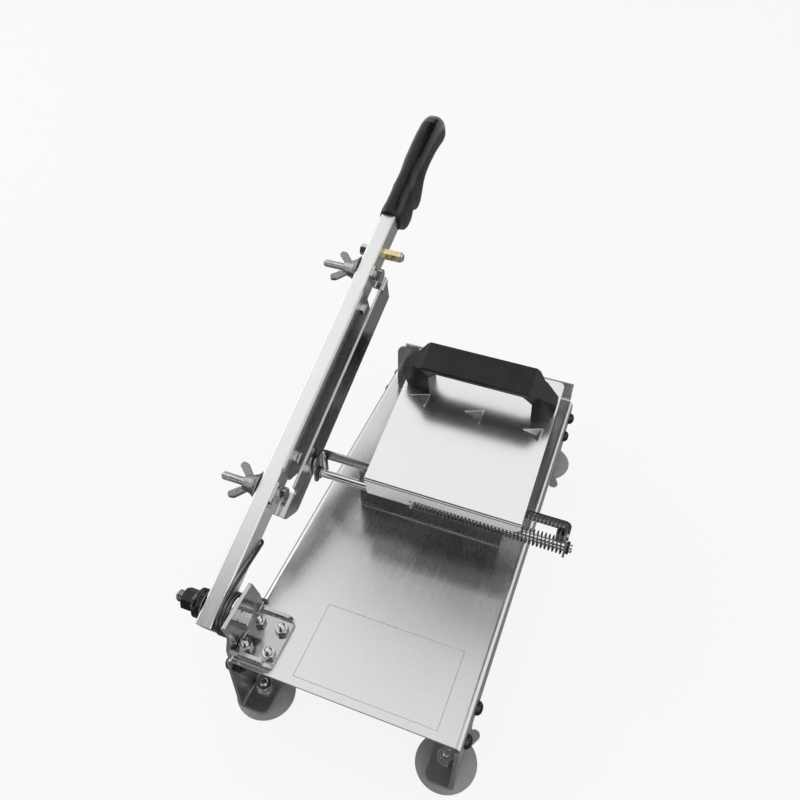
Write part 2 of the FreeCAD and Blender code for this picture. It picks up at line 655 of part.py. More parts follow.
def torsion_spring():
    """The spring that lifts the arm: one leg hooks under the arm, the other rests on the tray."""
    pitch = math.radians(arm_pitch)
    hook_y = spring_hook[0] * math.cos(pitch) - spring_hook[1] * math.sin(pitch)
    hook_z = spring_hook[0] * math.sin(pitch) + spring_hook[1] * math.cos(pitch)
    rest_y = spring_rest[0] - pivot_y
    rest_z = spring_rest[1] - pivot_z
    hook_reach = math.hypot(hook_y, hook_z)
    rest_reach = math.hypot(rest_y, rest_z)
    begin = math.atan2(hook_z, hook_y) + math.acos(spring_mean / hook_reach)
    finish = math.atan2(rest_z, rest_y) - math.acos(spring_mean / rest_reach)
    sweep = finish - begin + 6 * math.pi
    rise = spring_pitch / (2 * math.pi)
    helix = Part.makeHelix(spring_pitch, spring_pitch * sweep / (2 * math.pi), spring_mean)
    to_x_axis = FreeCAD.Rotation(Vector(1, 1, 1), 120)
    turn = FreeCAD.Rotation(Vector(1, 0, 0), math.degrees(begin))
    centre = Vector(spring_start_x, pivot_y, pivot_z)
    helix.Placement = FreeCAD.Placement(centre, turn.multiply(to_x_axis))

    def coil_point(angle):
        across = Vector(0, math.cos(angle), math.sin(angle)) * spring_mean
        along = Vector(rise * (angle - begin), 0, 0)
        tangent = Vector(rise, -math.sin(angle) * spring_mean, math.cos(angle) * spring_mean)
        return centre + along + across, tangent.normalize()

    bend = 2.6
    hook_start, hook_way = coil_point(begin)
    hook_run = math.sqrt(hook_reach ** 2 - spring_mean ** 2) - bend
    hook_leg = leg_path(hook_start, hook_way * -1, hook_run, bend, Vector(-1, 0, 0), 9.0)
    rest_start, rest_way = coil_point(begin + sweep)
    rest_run = math.sqrt(rest_reach ** 2 - spring_mean ** 2) - bend
    rest_leg = leg_path(rest_start, rest_way, rest_run, bend, Vector(1, 0, 0), 3.0)
    path = Part.Wire(Part.__sortEdges__(hook_leg + helix.Edges + rest_leg))
    free_end = hook_leg[-1].Vertexes[-1].Point
    section = Part.Wire(Part.makeCircle(spring_wire, free_end, Vector(1, 0, 0)))
    return path.makePipeShell([section], True, False)


# ---- trough ----
def front_wall():
    """The trough's front wall: a full-width strip with ears for the rod, and a deep middle."""
    back = wall_y + wall_sheet
    ear_front = rod_y - 6.0
    ear_bottom = rod_z - 7.0
    plan = [(wall_left, ear_front), (wall_left, back), (wall_right, back), (wall_right, ear_front)]
    band = bent_sheet("z", ear_bottom, wall_height, plan[::-1], wall_sheet, 3.0)
    under = wall_height - strip_height
    for low, high in ((wall_left + 4.5, deep_left), (deep_right, wall_right - 9.0)):
        band = band.cut(block(low, high, wall_y - 1, back + 1, ear_bottom - 1, under))
    side = [(ear_front, ear_bottom), (back, ear_bottom), (back, wall_height), (ear_front, wall_height)]
    band = band.common(prism("x", -1, wall_right + 1, side, [4.0, 3.0, 0.0, 5.0]))
    foot = [(wall_y, 36), (wall_y, 0), (167, 0)]
    deep = bent_sheet("x", deep_left, deep_right, foot, wall_sheet, 1.5)
    wall = band.fuse(deep).removeSplitter()
    holes = [cylinder((-5, rod_y, rod_z), (1, 0, 0), rod_radius + fit, 200)]
    for x in wall_screw_x:
        holes.append(cylinder((x, wall_screw_y[0], -1), (0, 0, 1), wall_screw_radius + slack, 5))
    return wall.cut(holes)


def rear_wall():
    """The trough's rear wall, an angle with its foot towards the back of the tray."""
    foot = [(rear_wall_y, wall_height - 0.2), (rear_wall_y, 0), (299, 0)]
    angle = bent_sheet("x", 10, 150, foot, wall_sheet, 1.5)
    front = [(10, -1), (150, -1), (150, wall_height - 0.2), (10, wall_height - 0.2)]
    angle = angle.common(prism("y", 270, 310, front, [0.0, 0.0, 8.0, 8.0]))
    for x in wall_screw_x:
        angle = angle.cut(cylinder((x, wall_screw_y[1], -1), (0, 0, 1), wall_screw_radius + slack, 5))
    return angle


def wall_fixings():
    """Short screws down through each wall's foot, with nuts under the tray."""
    screws = []
    nuts = []
    for y in wall_screw_y:
        for x in wall_screw_x:
            screws.append(domed_bolt((x, y, wall_sheet), (0, 0, -1), wall_screw_radius, 8.0, 4.0, 2.6))
            nuts.append(nut((x, y, -tray_sheet), (0, 0, -1), 7.0, 3.2, wall_screw_radius))
    return group(screws), group(nuts)


def guide_rod():
    """The round rod that the press plate slides and tilts on."""
    length = rod_right - rod_left
    profile = [(0, 0), (rod_radius - 0.4, 0), (rod_radius, 0.4), (rod_radius, length - 0.4)]
    profile = profile + [(rod_radius - 0.4, length), (0, length)]
    return turned((rod_left, rod_y, rod_z), (1, 0, 0), profile)


def rod_clips():
    """Push-on rings that keep the rod in the ears."""
    left = washer((wall_left + wall_sheet + 0.05, rod_y, rod_z), (1, 0, 0), 4.5, rod_radius + fit, 2.0)
    right = washer((wall_right + 0.05, rod_y, rod_z), (1, 0, 0), 4.5, rod_radius + fit, 2.0)
    return group([left, right])


# ---- carriage ----
thrust_sheet = 1.2
feed_wire = 0.5
feed_mean = 5.3
feed_turns = 40.0


def thrust_washer():
    """The ring between the feed spring and the press plate's sleeve; it only slides."""
    seat = (sleeve_right + 0.3, rod_y, rod_z)
    return washer(seat, (1, 0, 0), 6.2, rod_radius + fit, thrust_sheet)


def feed_spring():
    """The compression spring on the rod that feeds the meat towards the blade."""
    low = sleeve_right + 0.3 + thrust_sheet + feed_wire + 0.1
    high = wall_right - wall_sheet - feed_wire - 0.1
    pitch = (high - low) / feed_turns
    path = Part.makeHelix(pitch, high - low, feed_mean)
    start = Vector(feed_mean, 0, 0)
    way = Vector(0, feed_mean, pitch / (2 * math.pi)).normalize()
    section = Part.Wire(Part.makeCircle(feed_wire, start, way))
    coil = Part.Wire(path.Edges).makePipeShell([section], True, True)
    to_x_axis = FreeCAD.Rotation(Vector(1, 1, 1), 120)
    coil.Placement = FreeCAD.Placement(Vector(low, rod_y, rod_z), to_x_axis)
    return coil


tooth_drop = 9.0
tooth_backs = ((62.9, 75.0), (105.6, 73.2), (149.4, 71.4))     # the right end of each back edge
tooth_across = (-12.0, -4.2)                                   # from there to its left end
tooth_tip = (-0.3, -10.2)                                      # and to the front point
handle_front = plate_front + 77.25
handle_depth = 22.6
handle_rise = 38.0
handle_undercut = 3.8           # how far the legs and the bar's underside stand in from its rim
handle_left = 42.0
handle_right = 155.5
opening_left = 63.0
opening_right = 139.5
handle_screw_x = (54.5, 146.5)


def handle_screw_seats():
    """Where the handle's screws meet the underside of the press plate, one in each leg."""
    middle = handle_front + handle_depth / 2
    return [(x, middle, plate_rise - plate_sheet) for x in handle_screw_x]


def press_plate():
    """The plate that holds the meat down: front flange, rolled sleeve on the rod and three teeth."""
    top = plate_rise
    bottom = top - flange_depth
    front = plate_front
    back = plate_front + plate_depth
    path = [(back, top), (front, top), (front, bottom)]
    sheet = bent_sheet("x", plate_left, plate_right, path, plate_sheet, 1.0)
    face = [(plate_left, bottom), (plate_left, top + 1), (plate_right, top + 1), (plate_right, bottom)]
    sheet = sheet.common(prism("y", front - 1, back + 1, face, [0.0, 0.0, 0.0, 8.0]))
    plan = [(plate_left, front - 1), (plate_right, front - 1), (plate_right, back), (plate_left, back)]
    sheet = sheet.common(prism("z", 0, top + 2, plan, [0.0, 0.0, 4.0, 4.0]))
    lug = block(plate_left, sleeve_right, front, front + plate_sheet, 0, bottom + 1)
    sleeve = cylinder((plate_left, 0, 0), (1, 0, 0), -front, sleeve_right - plate_left)
    sheet = sheet.fuse([lug, sleeve])
    sheet = sheet.cut(cylinder((plate_left - 1, 0, 0), (1, 0, 0), rod_radius + fit, 60))
    slant = math.degrees(math.atan2(-tooth_across[1], -tooth_across[0]))
    edge = math.hypot(*tooth_across)
    for right in tooth_backs:
        left = (right[0] + tooth_across[0], right[1] + tooth_across[1])
        tip = (right[0] + tooth_tip[0], right[1] + tooth_tip[1])
        sheet = sheet.cut(prism("z", top - 3, top + 1, [left, right, tip], 0.0))
        tooth = prism("y", 0, plate_sheet, [(0, 0), (edge, 0), (edge * 0.7, -tooth_drop)], 0.0)
        tooth.rotate(Vector(0, 0, 0), Vector(0, 0, 1), slant)
        tooth.translate(Vector(left[0], left[1], top - 0.1))
        sheet = sheet.fuse(tooth)
    for seat in handle_screw_seats():
        below = step_along(seat, (0, 0, 1), -1)
        sheet = sheet.cut(cylinder(below, (0, 0, 1), wall_screw_radius + slack, 4))
    return on_rod(sheet.removeSplitter())


def press_handle():
    """A faceted arch handle that stands on the press plate, with a broad flat top."""
    base = plate_rise
    top = base + handle_rise
    front = handle_front
    back = front + handle_depth
    under = base + 27.0
    rim = top - 2.6
    half = ((2.5, base), (0, base + 12), (0, base + 21), (18, top))
    arch = [(handle_left + across, up) for across, up in half]
    arch = arch + [(handle_right - across, up) for across, up in half[::-1]]
    body = prism("y", front, back, arch, 0.5)
    near = front + handle_undercut
    far = back - handle_undercut
    leg = [(near, base - 1), (near, rim - 4), (front, rim), (front, top + 1)]
    leg = leg + [(back, top + 1), (back, rim), (far, rim - 4), (far, base - 1)]
    left_leg = prism("x", handle_left - 1, opening_left, leg, 0.0)
    right_leg = prism("x", opening_right, handle_right + 1, leg, 0.0)
    bar = [(front, top + 1), (front, rim), (near, under), (near, base - 1)]
    bar = bar + [(far, base - 1), (far, under), (back, rim), (back, top + 1)]
    body = body.common(left_leg.fuse([right_leg, prism("x", opening_left, opening_right, bar, 0.0)]))
    opening = [(opening_left, base - 1), (opening_left, under - 7), (opening_left + 7, under)]
    opening = opening + [(opening_right - 7, under), (opening_right, under - 7), (opening_right, base - 1)]
    body = body.cut(prism("y", front - 1, back + 1, opening, 0.0))
    plan = [(handle_left - 1, near + 4), (handle_left + 9, near), (handle_left + 13, front)]
    plan = plan + [(handle_right - 13, front), (handle_right - 9, near), (handle_right + 1, near + 4)]
    plan = plan + [(handle_right + 1, far - 4), (handle_right - 9, far), (handle_right - 13, back)]
    plan = plan + [(handle_left + 13, back), (handle_left + 9, far), (handle_left - 1, far - 4)]
    body = body.common(prism("z", base - 1, top + 1, plan, 0.0))
    for seat in handle_screw_seats():
        body = body.cut(cylinder(seat, (0, 0, 1), wall_screw_radius + fit, 14))
    return on_rod(body)


def handle_screws():
    """Two screws up through the press plate into the handle's legs."""
    screws = []
    for seat in handle_screw_seats():
        screws.append(on_rod(domed_bolt(seat, (0, 0, 1), wall_screw_radius, 12.0, 3.8, 2.2)))
    return group(screws)


# ---- put together ----
pieces = {}
pieces["base_tray"] = base_tray()
cup_centres = []
for side, end in foot_corners():
    side_name, side_x, inward_x = side
    end_name, end_y, inward_y = end
    centre = (side_x + inward_x * cup_inset, end_y + inward_y * cup_from_end)
    cup_centres.append(centre)
    pieces["foot_bracket_" + end_name + "_" + side_name] = foot_bracket(side, end)
    pieces["suction_cup_" + end_name + "_" + side_name] = suction_cup(centre, inward_x, inward_y)
pieces["foot_studs"], pieces["foot_washers"], pieces["foot_nuts"] = foot_fixings(cup_centres)
pieces["skirt_bolts"], pieces["skirt_nuts"] = skirt_fixings()
pieces["pivot_bracket"] = pivot_bracket()
pieces["bracket_bolts"], pieces["bracket_nuts"] = bracket_fixings()
main_bolt, ear_ring, flat_washers, lock_washer, main_nut = pivot_stack()
pieces["pivot_bolt"] = main_bolt
pieces["ear_washer"] = ear_ring
pieces["pivot_washers"] = flat_washers
pieces["pivot_lock_washer"] = lock_washer
pieces["pivot_nut"] = main_nut
pieces["arm_tube"] = arm_tube()
pieces["pivot_bush"] = pivot_bush()
pieces["handle_grip"] = handle_grip()
pieces["blade"] = blade()
pieces["stop_plate"] = stop_plate()
pieces["stop_plate_screws"] = stop_plate_screws()
pieces["wing_bolts"], pieces["wing_bolt_washers"] = wing_bolts()
pieces["wing_nut_lower"] = wing_nut(lower_wing_at)
pieces["wing_nut_upper"] = wing_nut(upper_wing_at)
pieces["brass_standoff"], pieces["standoff_screw"], pieces["standoff_end_screw"] = standoff_set()
pieces["torsion_spring"] = torsion_spring()
pieces["front_wall"] = front_wall()
pieces["rear_wall"] = rear_wall()
pieces["wall_screws"], pieces["wall_nuts"] = wall_fixings()
pieces["guide_rod"] = guide_rod()
pieces["rod_clips"] = rod_clips()
pieces["thrust_washer"] = thrust_washer()
pieces["feed_spring"] = feed_spring()
pieces["press_plate"] = press_plate()
pieces["press_handle"] = press_handle()
pieces["press_handle_screws"] = handle_screws()

whole = Part.makeCompound(list(pieces.values())).BoundBox
shift = Vector(-(whole.XMin + whole.XMax) / 2, -(whole.YMin + whole.YMax) / 2, tray_height)

os.makedirs("parts", exist_ok=True)
for name, shape in pieces.items():
    shape.translate(shift)
    shape.exportStep("parts/" + name + ".step")
    print(name, "valid", shape.isValid(), "solids", len(shape.Solids), "volume", round(shape.Volume, 1))
print("overall", round(whole.XLength, 2), round(whole.YLength, 2), round(whole.ZLength, 2))
print("shift", round(shift.x, 4), round(shift.y, 4), round(shift.z, 4))
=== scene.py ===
"""Hand crank meat slicer, dressed piece by piece in the order in which it is put together."""
import json
import math

import bmesh
import bpy
from mathutils import Matrix, Vector

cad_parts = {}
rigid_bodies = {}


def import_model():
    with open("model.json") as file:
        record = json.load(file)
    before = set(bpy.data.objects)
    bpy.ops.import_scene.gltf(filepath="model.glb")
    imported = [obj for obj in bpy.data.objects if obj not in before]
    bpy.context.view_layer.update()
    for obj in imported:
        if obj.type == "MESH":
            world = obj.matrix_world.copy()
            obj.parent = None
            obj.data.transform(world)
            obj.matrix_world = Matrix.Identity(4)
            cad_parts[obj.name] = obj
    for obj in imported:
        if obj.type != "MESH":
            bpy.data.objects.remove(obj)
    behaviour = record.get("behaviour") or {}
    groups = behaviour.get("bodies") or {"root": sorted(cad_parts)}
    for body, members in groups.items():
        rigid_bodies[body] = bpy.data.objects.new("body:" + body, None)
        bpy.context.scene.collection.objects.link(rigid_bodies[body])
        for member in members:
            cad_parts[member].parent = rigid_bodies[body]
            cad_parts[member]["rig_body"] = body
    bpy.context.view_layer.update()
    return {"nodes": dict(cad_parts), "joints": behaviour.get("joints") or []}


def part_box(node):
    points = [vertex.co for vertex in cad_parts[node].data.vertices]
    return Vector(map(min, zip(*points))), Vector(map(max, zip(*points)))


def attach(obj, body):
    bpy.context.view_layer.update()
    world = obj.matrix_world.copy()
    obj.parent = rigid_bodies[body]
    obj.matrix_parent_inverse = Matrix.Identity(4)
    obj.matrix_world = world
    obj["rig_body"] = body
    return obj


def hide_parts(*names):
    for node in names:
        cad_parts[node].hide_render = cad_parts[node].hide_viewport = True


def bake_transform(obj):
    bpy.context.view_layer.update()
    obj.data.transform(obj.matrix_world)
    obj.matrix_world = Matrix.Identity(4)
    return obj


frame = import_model()
nodes = frame["nodes"]

# ---- Camera, light and floor ----
# The slicer stands on a pale seamless floor under a white sky. One broad lamp hangs over its left
# side and a weaker one at the front right. Dark cards out of view, which only mirror-like surfaces
# show, give the bare steel its contrast.
MM = 0.001
tray_low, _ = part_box("base_tray")
deck = Vector((tray_low.x, tray_low.y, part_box("front_wall")[0].z))
on_deck = Matrix.Translation(deck) @ Matrix.Scale(MM, 4)


class Link:
    """A shader socket that takes part in Python expressions: every operator adds a Math node."""

    def __init__(self, tree, socket=None):
        self.tree = tree
        self.socket = socket

    def node(self, kind, settings=None, inputs=None, output=0):
        """Add any other node: its settings first, then the values or links of its sockets."""
        made = self.tree.nodes.new(kind)
        for setting, value in (settings or {}).items():
            setattr(made, setting, value)
        for socket, value in (inputs or {}).items():
            if isinstance(value, Link):
                self.tree.links.new(value.socket, made.inputs[socket])
            else:
                made.inputs[socket].default_value = value
        return Link(self.tree, made.outputs[output] if len(made.outputs) else None)

    def math(self, operation, first, second=0.0):
        settings = {"operation": operation}
        return self.node("ShaderNodeMath", settings, {0: first, 1: second})

    def __add__(self, other):
        return self.math("ADD", self, other)

    def __sub__(self, other):
        return self.math("SUBTRACT", self, other)

    def __mul__(self, other):
        return self.math("MULTIPLY", self, other)

    def __radd__(self, other):
        return self.math("ADD", other, self)

    def __rsub__(self, other):
        return self.math("SUBTRACT", other, self)

    def __rmul__(self, other):
        return self.math("MULTIPLY", other, self)

    def __abs__(self):
        return self.math("ABSOLUTE", self)

    def __lt__(self, other):
        return self.math("LESS_THAN", self, other)

    def __gt__(self, other):
        return self.math("GREATER_THAN", self, other)

    def clamped(self):
        return self.node("ShaderNodeClamp", {}, {"Value": self})


def seen_directly(tree):
    """1 for a ray from the camera, or one that metal or glass has turned, and 0 for any other."""
    ways = [Link(tree).node("ShaderNodeLightPath", output=name)
            for name in ("Is Camera Ray", "Is Glossy Ray", "Is Transmission Ray")]
    return (ways[0] + ways[1] + ways[2]).clamped()


ambient_strength = 0.6
backdrop_strength = 1.0
world = bpy.data.worlds.new("studio")
world.use_nodes = True
world.node_tree.nodes.clear()
direct = seen_directly(world.node_tree)
sky_strength = direct * (backdrop_strength - ambient_strength) + ambient_strength
sky = direct.node("ShaderNodeBackground", {}, {"Color": (1, 1, 1, 1), "Strength": sky_strength})
direct.node("ShaderNodeOutputWorld", {}, {"Surface": sky})
bpy.context.scene.world = world
bpy.context.scene.view_settings.view_transform = "Standard"

floor_size = 6.0
floor_white = 0.86
floor_material = bpy.data.materials.new("pale_floor")
floor_material.use_nodes = True
floor_material.node_tree.nodes.clear()
direct = seen_directly(floor_material.node_tree)
paper_tone = (0.86, 0.86, 0.86, 1)
paper = direct.node("ShaderNodeBsdfDiffuse", {}, {"Color": paper_tone})
glow = direct.node("ShaderNodeEmission", {}, {"Color": (1, 1, 1, 1), "Strength": backdrop_strength})
lit = direct.node("ShaderNodeMixShader", {}, {"Fac": direct * floor_white, 1: paper, 2: glow})
direct.node("ShaderNodeOutputMaterial", {}, {"Surface": lit})
bm = bmesh.new()
bmesh.ops.create_grid(bm, x_segments=1, y_segments=1, size=floor_size / 2)
floor_mesh = bpy.data.meshes.new("floor")
bm.to_mesh(floor_mesh)
bm.free()
floor_mesh.materials.append(floor_material)
floor = bpy.data.objects.new("floor", floor_mesh)
bpy.context.scene.collection.objects.link(floor)


middle_of_slicer = (0, 0, 0.1)


def lamp(name, place, size, power):
    """A square soft lamp that looks at the middle of the slicer; metres and watts."""
    light = bpy.data.lights.new(name, "AREA")
    light.shape = "SQUARE"
    light.size = size
    light.energy = power
    thing = bpy.data.objects.new(name, light)
    thing.location = Vector(place)
    way = Vector(middle_of_slicer) - thing.location
    thing.rotation_euler = way.to_track_quat("-Z", "Y").to_euler()
    bpy.context.scene.collection.objects.link(thing)


lamp("left_lamp", (-1.6, 0.1, 1.15), 1.4, 7.0)
lamp("front_lamp", (1.2, -1.0, 1.3), 0.8, 3.0)


def card(name, place, size, tone, target=middle_of_slicer):
    """A dark square card that only mirror-like surfaces show; it faces a target, in metres."""
    material = bpy.data.materials.new(name)
    material.use_nodes = True
    material.node_tree.nodes.clear()
    board = Link(material.node_tree).node("ShaderNodeEmission", {}, {"Strength": tone})
    board.node("ShaderNodeOutputMaterial", {}, {"Surface": board})
    bm = bmesh.new()
    bmesh.ops.create_grid(bm, x_segments=1, y_segments=1, size=size / 2)
    mesh = bpy.data.meshes.new(name)
    bm.to_mesh(mesh)
    bm.free()
    mesh.materials.append(material)
    thing = bpy.data.objects.new(name, mesh)
    thing.location = Vector(place)
    way = Vector(target) - thing.location
    thing.rotation_euler = way.to_track_quat("Z", "Y").to_euler()
    bpy.context.scene.collection.objects.link(thing)
    thing.visible_camera = False
    thing.visible_diffuse = False
    thing.visible_transmission = False
    thing.visible_shadow = False


card("low_card", (0, 0, 0.001), 1.6, 0.21, (0, 0, 1))
card("front_card", (-0.35, -1.05, 1.0), 1.4, 0.05)
card("rear_card", (0.55, 1.15, 1.3), 1.4, 0.05)
card("high_card", (0.06, 1.02, 1.3), 0.92, 0.06, (0.06, 1.02, 0))

camera_place = (189.94, -186.14, 467.34)      # from the front left corner of the tray's top
camera_azimuth = math.radians(20.79)
camera_elevation = math.radians(44.0)
camera_roll = math.radians(0.40)
back = Vector((math.sin(camera_azimuth) * math.cos(camera_elevation),
               -math.cos(camera_azimuth) * math.cos(camera_elevation), math.sin(camera_elevation)))
right = Vector((math.cos(camera_azimuth), math.sin(camera_azimuth), 0))
facing = Matrix((right, back.cross(right), back)).transposed() @ Matrix.Rotation(camera_roll, 3, "Z")
camera_data = bpy.data.cameras.new("camera")
camera_data.lens = 34.7
camera_data.sensor_width = 36.0
camera_data.clip_start = 0.01
camera = bpy.data.objects.new("camera", camera_data)
camera.matrix_world = Matrix.Translation(on_deck @ Vector(camera_place)) @ facing.to_4x4()
bpy.context.scene.collection.objects.link(camera)
bpy.context.scene.camera = camera

# ---- Base tray ----
# One folded sheet of brushed stainless steel: deck, two side skirts and a low lip at the back. The
# grain runs from front to back, and a fine frame is scribed on the deck near its front.
merge_distance = 0.002 * MM
flat_angle = math.radians(0.6)
sharp_angle = math.radians(38)
smooth_angle = math.radians(40)
hardware_round = 0.12 * MM           # edge rounding of bolts, nuts and washers
sheet_round = 0.2 * MM               # and of sheared sheet
folded_round = 0.3 * MM              # and of the thicker brackets


def copied(node):
    """A bmesh of a CAD node, its loose triangles merged and its flat faces made whole."""
    bm = bmesh.new()
    bm.from_mesh(nodes[node].data)
    bmesh.ops.remove_doubles(bm, verts=bm.verts, dist=merge_distance)
    bmesh.ops.dissolve_limit(bm, angle_limit=flat_angle, verts=bm.verts, edges=bm.edges)
    return bm


def soften(bm, width, segments=2, rim=-1):
    """Round a bmesh's sharp edges by a width; their new faces may take another of the materials."""
    sharp = [edge for edge in bm.edges if edge.is_manifold and edge.calc_face_angle() > sharp_angle]
    bmesh.ops.bevel(bm, geom=sharp, offset=width, segments=segments, profile=0.5, affect="EDGES",
                    clamp_overlap=True, material=rim)


def piece(name, bm, material, *stood_for, skin=None, passes=0, rim=None):
    """Make a bmesh one piece of the slicer, on the body of the CAD nodes that it stands for.

    A skin is the voxel size, in millimetres, that melts its parts into one rounded casting, and
    a rim is a second material.
    """
    mesh = bpy.data.meshes.new(name)
    bm.to_mesh(mesh)
    bm.free()
    mesh.materials.append(material)
    if rim:
        mesh.materials.append(rim)
    mesh.shade_smooth()
    mesh.set_sharp_from_angle(angle=smooth_angle)
    thing = bpy.data.objects.new(name, mesh)
    bpy.context.scene.collection.objects.link(thing)
    if skin:
        melted = thing.modifiers.new("one_skin", "REMESH")
        melted.mode = "VOXEL"
        melted.voxel_size = skin * MM
        melted.use_smooth_shade = True
        polish = thing.modifiers.new("polish", "SMOOTH")
        polish.factor = 0.5
        polish.iterations = passes
    else:
        flats = thing.modifiers.new("flats", "WEIGHTED_NORMAL")
        flats.keep_sharp = True
    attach(thing, nodes[stood_for[0]]["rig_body"])
    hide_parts(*stood_for)
    return thing


def begin(name):
    """A new material and a link to its Object coordinates in millimetres."""
    material = bpy.data.materials.new(name)
    material.use_nodes = True
    material.node_tree.nodes.clear()
    metres = Link(material.node_tree).node("ShaderNodeTexCoord", output="Object")
    place = metres.node("ShaderNodeVectorMath", {"operation": "SCALE"}, {0: metres, "Scale": 1 / MM})
    return material, place


def stretched(place, scale, turn=(0, 0, 0), shift=(0, 0, 0)):
    """Coordinates turned in degrees and scaled along each axis, for a pattern with a grain."""
    turn = tuple(math.radians(angle) for angle in turn)
    turned_place = place.node("ShaderNodeMapping", {"vector_type": "TEXTURE"},
                              {"Vector": place, "Rotation": turn, "Location": shift})
    return turned_place.node("ShaderNodeVectorMath", {"operation": "MULTIPLY"},
                             {0: turned_place, 1: scale})


def noise(place, scale, detail=3.0, rough=0.55):
    """Soft noise from 0 to 1, with a scale in cycles per millimetre."""
    inputs = {"Vector": place, "Scale": scale, "Detail": detail, "Roughness": rough}
    return place.node("ShaderNodeTexNoise", {}, inputs)


def levels(value, low, high, low_value=0.0, high_value=1.0):
    """A value stretched so that low to high becomes low_value to high_value, and clamped."""
    inputs = {"Value": value, "From Min": low, "From Max": high}
    inputs.update({"To Min": low_value, "To Max": high_value})
    return value.node("ShaderNodeMapRange", {"clamp": True}, inputs)


def shade(factor, first, second):
    """A colour mixed from two by a factor."""
    inputs = {"Factor": factor, 6: (*first, 1), 7: (*second, 1)}
    return factor.node("ShaderNodeMix", {"data_type": "RGBA"}, inputs, 2)


def coat(material, colour, rough, height, depth, metallic=1.0, **fixed):
    """Finish a material: its varying colour, roughness and height in millimetres, and its constants."""
    bump = rough.node("ShaderNodeBump", {}, {"Height": height, "Distance": depth * MM})
    inputs = {"Base Color": colour, "Roughness": rough, "Metallic": metallic, "Normal": bump}
    inputs.update({name.replace("_", " "): value for name, value in fixed.items()})
    surface = rough.node("ShaderNodeBsdfPrincipled", {}, inputs)
    rough.node("ShaderNodeOutputMaterial", {}, {"Surface": surface})
    return material


def scratches(place, scale, turn, amount):
    """A few hair-fine scratches: the thin crests of a stretched noise."""
    lines = noise(stretched(place, (1.0, 0.035, 1.0), turn), scale, 1.0)
    return levels(abs(lines - 0.5), 0.0, amount, 1.0, 0.0)


def brushed(name, dark, light, rough, grain, turn=(0, 0, 0), streaks=0.5):
    """Brushed stainless steel: fine lines along the grain, broader streaks, smears and hairlines."""
    material, place = begin(name)
    lines = noise(stretched(place, grain, turn), 5.5, 2.0)
    streak = noise(stretched(place, grain, turn), 0.55, 4.0)
    smear = noise(place, 0.018, 3.0)
    hair = scratches(place, 0.16, (0, 0, 24), 0.004) + scratches(place, 0.12, (0, 0, -37), 0.003)
    tone = (lines * 0.35 + streak * streaks + smear * 0.5 - 0.2).clamped()
    roughness = rough + (lines - 0.5) * 0.10 + (smear - 0.5) * 0.16 + (streak - 0.5) * 0.08
    height = lines * 0.6 + streak * 0.4 - hair * 0.12
    return material, place, shade(tone, dark, light), roughness, height


line_depth = 0.006
material, place, colour, roughness, height = brushed(
    "tray_steel", (0.69, 0.69, 0.68), (0.83, 0.83, 0.82), 0.26, (1.0, 0.03, 1.0), streaks=0.25)
scribe_middle = (94.0, 33.5)         # on the deck, from its front left corner
scribe_shift = (deck.x / MM + scribe_middle[0], deck.y / MM + scribe_middle[1], 0.0)
scribe = stretched(place, (1.0, 1.0, 1.0), shift=scribe_shift)
across = abs(scribe.node("ShaderNodeSeparateXYZ", {}, {"Vector": scribe}, "X"))
along = abs(scribe.node("ShaderNodeSeparateXYZ", {}, {"Vector": scribe}, "Y"))
frame_half = (48.5, 27.5)
line_half = 0.22
on_side = (abs(across - frame_half[0]) < line_half) * (along < frame_half[1])
on_end = (abs(along - frame_half[1]) < line_half) * (across < frame_half[0])
scribed = (on_side + on_end).clamped()
scribe_colour = shade(scribed * 0.45, (1, 1, 1), (0.12, 0.12, 0.12))
colour = colour.node("ShaderNodeMix", {"data_type": "RGBA", "blend_type": "MULTIPLY"},
                     {"Factor": 1.0, 6: colour, 7: scribe_colour}, 2)
tray_steel = coat(material, colour, roughness + scribed * 0.2, height - scribed * 9.0, line_depth * 0.7)
tray_round = 0.25 * MM
bm = copied("base_tray")
soften(bm, tray_round)
piece("tray_sheet", bm, tray_steel, "base_tray")

# ---- Foot brackets ----
# Four pressed steel angles bolted inside the skirts; each foot plate carries one suction cup. They
# are satin finished after folding.
corners = [end + "_" + side for end in ("front", "rear") for side in ("left", "right")]
material, place, colour, roughness, height = brushed(
    "bracket_steel", (0.36, 0.36, 0.355), (0.54, 0.54, 0.53), 0.3, (0.35, 1.0, 0.05), streaks=0.3)
bracket_steel = coat(material, colour, roughness, height, line_depth)
for corner in corners:
    bm = copied("foot_bracket_" + corner)
    soften(bm, folded_round)
    piece("foot_plate_" + corner, bm, bracket_steel, "foot_bracket_" + corner)

# ---- Suction cups ----
# Soft grey rubber, moulded round the foot of each stud: a flat collar, a hollow skirt and a thin
# rolled rim that grips the table.


def turned(profile, steps=64):
    """A bmesh of a (radius, height) profile in millimetres, spun round the Z axis and closed."""
    bm = bmesh.new()
    points = [bm.verts.new((radius, 0, height)) for radius, height in profile]
    edges = [bm.edges.new(pair) for pair in zip(points, points[1:])]
    bmesh.ops.spin(bm, geom=points + edges, cent=(0, 0, 0), axis=(0, 0, 1), dvec=(0, 0, 0),
                   angle=math.tau, steps=steps, use_merge=True)
    bmesh.ops.remove_doubles(bm, verts=bm.verts, dist=0.001)
    bmesh.ops.recalc_face_normals(bm, faces=bm.faces)
    return bm


def join(target, part, place):
    """Move a part into place and add it to a piece."""
    bmesh.ops.transform(part, matrix=place, verts=part.verts)
    carrier = bpy.data.meshes.new("part")
    part.to_mesh(carrier)
    part.free()
    target.from_mesh(carrier)
    bpy.data.meshes.remove(carrier)


